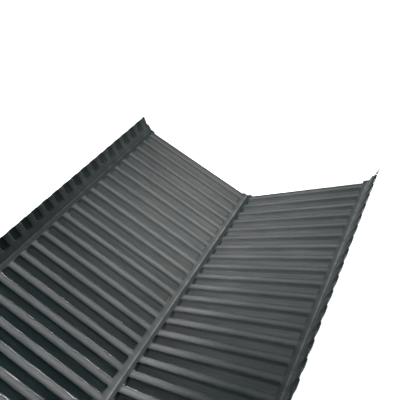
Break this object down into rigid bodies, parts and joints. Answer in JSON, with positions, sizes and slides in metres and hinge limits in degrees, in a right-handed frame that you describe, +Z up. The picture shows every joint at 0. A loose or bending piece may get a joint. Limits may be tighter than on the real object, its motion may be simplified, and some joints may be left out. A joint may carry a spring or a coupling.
{
  "type": "valley flashing",
  "caption": "V-shaped roof valley flashing in dark coated sheet, with pressed cross grooves on both wings and on its upturned edge flanges.",
  "frame": {"origin": "on the floor, under the middle of the sheet's box as it lies at rest", "axes": "+Y along the valley, +Z up, +X across it towards the raised wing"},
  "size_m": [0.3794, 2, 0.21],
  "materials": {
    "coated_sheet": "satin anthracite coil coating on aluminium"
  },
  "bodies": {
    "root": {"valley_sheet": "coated_sheet"}
  },
  "joints": []
}
